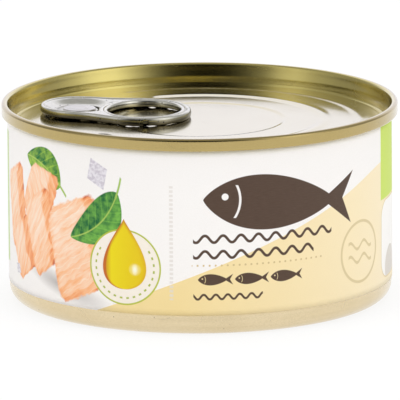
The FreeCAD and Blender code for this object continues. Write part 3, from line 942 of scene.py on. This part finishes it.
def stamp(tree, colour, group, middle, degrees, *values):
    """Puts a leaf or chunk on the print: group, middle, turn, and the values of its other inputs."""
    node = tree.nodes.new("ShaderNodeGroup")
    node.node_tree = group
    x, y = turned_axes(s, h, middle, degrees)
    for socket, value in zip(node.inputs, (x, y, *values)):
        wire(tree, value, socket)
    return over(tree, node.outputs["Mask"], colour, node.outputs["Colour"])


# Each piece of fish: middle, degrees, then half length, half width, slant, taper and ridge
CHUNKS = (
    ((-52.5, 23.4), 100, (8.6, 5.2, 0.9, 0.1, -0.3)), ((-41.0, 28.0), 66, (6.2, 5.4, -0.9, 0.0, -0.45)),
    ((-48.0, 14.8), 112, (6.0, 5.8, 1.1, 0.1, -0.2)), ((-40.4, 19.4), 106, (8.6, 5.4, 0.9, 0.12, -0.4)),
    ((-29.4, 17.4), 98, (10.9, 7.2, 0.5, 0.1, -0.6)))
colour = stamp(tree, colour, leaf_group, (-39.2, 34.3), 157, 6.7, 4.2, 0.03,
               ink(166, 206, 70), ink(24, 112, 46))
for middle, degrees, values in CHUNKS:
    colour = stamp(tree, colour, chunk_group, middle, degrees, *values)
colour = stamp(tree, colour, leaf_group, (-22.9, 23.6), 222, 8.2, 4.4, -0.035,
               ink(120, 186, 74), ink(14, 100, 48))
for middle, degrees, size in (((-23.3, 34.6), 25, 2.8), ((-51.6, 9.3), 60, 1.3)):
    px, py = turned_axes(s, h, middle, degrees)
    facet = abs(px) + abs(py) * 0.75
    facet_tone = spread(tree, noise(tree, paper_mm, 1.3, 1.0), 0.4, 0.6)
    crystal = over(tree, facet_tone, ink(232, 228, 234), ink(205, 198, 208))
    colour = over(tree, inside(facet, size), colour, crystal)

# Round badge with a drop of oil
bx, by = turned_axes(s, h, (-16.9, 14.7), 0)
from_badge = length(bx, by)
colour = over(tree, inside(from_badge, 8.35), colour, ink(182, 192, 66))
colour = over(tree, inside(from_badge, 8.0), colour, ink(247, 239, 226))
tick = abs(calc(tree, "FRACT", calc(tree, "ARCTAN2", by, bx) * (28 / (2 * math.pi))) - 0.5)
ticks = both(inside(tick, 0.2, 0.1), band_mask(from_badge, 6.6, 7.0),
             inside(by, 4.4, 0.2))
colour = over(tree, ticks, colour, ink(170, 186, 70))
DROP_LOW = 9.8
DROP_HEIGHT = 15.5
climb_drop = (h - DROP_LOW) / DROP_HEIGHT
safe = calc(tree, "MINIMUM", calc(tree, "MAXIMUM", climb_drop, 0.0), 1.0)
round_part = safe ** 0.5
taper = (1.0 - safe) ** 1.15
half_width = round_part * taper * 14.0
drop_edge = abs(bx) - half_width
in_drop = both(inside(drop_edge, 0.0), band_mask(climb_drop, 0.0, 1.0, 0.01))
share_side = bx / 5.0
oil = over(tree, spread(tree, share_side, -1.0, 0.9), ink(238, 222, 0), ink(230, 196, 6))
rim_tone = calc(tree, "ADD", spread(tree, drop_edge, -0.9, -0.1),
                spread(tree, share_side, -0.6, -1.0), clamp=True)
rim_tone = rim_tone * spread(tree, share_side, 0.6, -0.2, 0.25, 1.0)
oil = over(tree, rim_tone, oil, ink(196, 104, 30))
gx, gy = turned_axes(s, h, (-14.4, 14.3), 0)
oil = over(tree, spread(tree, length(gx, gy), 1.5, 1.0, 0.0, 0.35), oil, ink(255, 248, 190))
oil = over(tree, spread(tree, length(gx, gy * 0.6), 0.8, 0.2, 0.0, 0.9), oil, ink(255, 255, 235))
colour = over(tree, in_drop, colour, oil)

# Dark brown fish, as the main sign of the front, over two waves and a row of three small fish
BROWN = ink(80, 60, 47)


def fish_mask(middle, degrees, size):
    """Plain fish seen from the side, size millimetres from nose to middle: a pointed oval, a forked
    tail, and an eye and a gill left blank."""
    fx, fy = (axis / size for axis in turned_axes(s, h, middle, degrees))
    belly = calc(tree, "SUBTRACT", 1.0, fx * fx, clamp=True) ** 0.8
    belly = belly * (fx * -0.1 + 0.38)
    soft = 0.12 / size
    fish = both(inside(abs(fy), belly, soft), inside(abs(fx), 1.0, soft))
    tail_x = fx - 0.81
    fork = abs(fy) * 0.55 + 0.36
    tail = both(inside(abs(fy), tail_x * 0.62 + 0.02, soft),
                inside(tail_x, fork, soft), inside(0.0, tail_x, soft))
    fish = calc(tree, "MAXIMUM", fish, tail)
    eye = inside(length(fx + 0.7, fy - 0.06), 0.048, soft)
    gill = abs(length(fx + 0.935, fy) - 0.45)
    gill = both(inside(gill, 0.016, soft), inside(abs(fy), 0.23, soft))
    return calc(tree, "SUBTRACT", fish, calc(tree, "MAXIMUM", eye, gill), clamp=True)


press = spread(tree, noise(tree, paper_mm, 1.0, 2.0, (0.6, 9.0, 1.0)), 0.35, 0.65, 0.0, 0.16)
brown = over(tree, press, BROWN, ink(116, 96, 82))
signs = fish_mask((16.2, 28.9), -4, 15.6)
for at in (2.6, 10.6, 18.6):
    signs = calc(tree, "MAXIMUM", signs, fish_mask((at, 12.5), 0, 3.2))
# Each wave: height, start and end along the wall, swing, wave length and half its stroke
WAVES = ((21.4, -1.6, 31.0, 0.75, 3.9, 0.3), (18.0, -1.6, 26.0, 0.75, 3.9, 0.3),
         (8.7, -1.6, 13.6, 0.5, 2.6, 0.24))
for middle_h, low_s, high_s, swing, pitch, stroke in WAVES:
    wave_h = calc(tree, "SINE", s * (2 * math.pi / pitch)) * swing + middle_h
    slope = calc(tree, "COSINE", s * (2 * math.pi / pitch)) * (2 * math.pi * swing / pitch)
    stretch = calc(tree, "SQRT", slope * slope + 1.0)
    off_line = abs(h - wave_h) / stretch
    wave = both(inside(off_line, stroke), band_mask(s, low_s, high_s, 0.1))
    signs = calc(tree, "MAXIMUM", signs, wave)
colour = over(tree, signs, colour, brown)
fine_row = abs(calc(tree, "FRACT", h / 0.95) - 0.5)
fine_rule = both(inside(fine_row, 0.3, 0.1), band_mask(s, -6.7, -5.9), band_mask(h, 8.0, 33.0))
colour = over(tree, fine_rule * 0.7, colour, ink(226, 220, 214))
dot_x = (calc(tree, "FRACT", s / 1.3) - 0.5) * 1.3
dot = inside(length(dot_x, h - 15.6), 0.22)
colour = over(tree, both(dot, band_mask(s, -1.9, 28.6, 0.05)), colour, ink(214, 190, 140))

# Pale ring with two waves in it
rx, ry = turned_axes(s, h, (40.8, 14.6), 0)
from_ring = length(rx, ry)
crest = calc(tree, "SINE", rx * 1.25) * 0.8
to_wave = abs(abs(ry - crest) - 1.5)
waves = both(inside(to_wave, 0.34), inside(abs(rx), 4.4))
emblem = calc(tree, "MAXIMUM", waves, inside(abs(from_ring - 6.7), 0.3))
colour = over(tree, emblem, colour, ink(222, 203, 158))

# Back of the label: a row of plain panels and rules as on any pack
back_box = rounded_box((104.0, 21.0), (15.0, 12.0), 2.0)
colour = over(tree, band_mask(back_box, -0.35, 0.0), colour, ink(150, 136, 120))
rule_row = abs(calc(tree, "FRACT", h / 2.4) - 0.5)
rules = both(inside(rule_row, 0.09, 0.05), inside(back_box, -2.0))
colour = over(tree, rules, colour, ink(150, 136, 120))
rules = both(inside(rule_row, 0.09, 0.05), band_mask(s, -114.0, -82.0), band_mask(h, 8.0, 36.0))
colour = over(tree, rules, colour, ink(160, 146, 130))

wire(tree, colour, shader.inputs["Base Color"])
wire(tree, spread(tree, fibres, 0.3, 0.7, 0.42, 0.55), shader.inputs["Roughness"])
bumps = tree.nodes.new("ShaderNodeBump")
bumps.inputs["Strength"].default_value = 0.25
bumps.inputs["Distance"].default_value = 0.00004
wire(tree, noise(tree, paper_mm, 2.2, 4.0), bumps.inputs["Height"])
wire(tree, bumps.outputs[0], shader.inputs["Normal"])
shader.inputs["Specular IOR Level"].default_value = 0.35

label = piece("paper_label_wrap", points, label_faces.tolist(), label_paper, "paper_label")
label.data.polygons.foreach_set("use_smooth", np.arange(len(label_faces)) < 2 * len(cells))
corner_vertex = label_faces.reshape(-1)
column, row = (corner_vertex % count) // LABEL_ROWS, corner_vertex % LABEL_ROWS
arc_mm = (angle[column] - 1.5 * np.pi) * LABEL_R
print_uv = np.stack([arc_mm / (2 * PRINT_SPAN) + 0.5, rows[row] / PRINT_SPAN], axis=1)
layer = label.data.uv_layers.new(name="print")
layer.data.foreach_set("uv", print_uv.astype(np.float32).ravel())
STRIPS = 4
face_column = np.repeat(label_faces.min(axis=1) % count // LABEL_ROWS, 4)
strip = np.minimum(face_column * STRIPS // (LABEL_COLUMNS - 1), STRIPS - 1)
strip_width = (LABEL_COLUMNS - 1) / STRIPS
strip_u = 0.01 + 0.98 * (column - strip * strip_width) / strip_width
strip_v = (strip + 0.05 + 0.85 * row / (LABEL_ROWS - 1)) * 0.235
hidden = np.repeat(np.arange(len(label_faces)) >= len(cells), 4)
strip_v = np.where(hidden, 0.96 + 0.03 * row / LABEL_ROWS, strip_v)
bake_uv = np.stack([np.clip(strip_u, 0.0, 1.0), strip_v], axis=1)
layer = label.data.uv_layers.new(name="OFBake")
layer.data.foreach_set("uv", bake_uv.astype(np.float32).ravel())
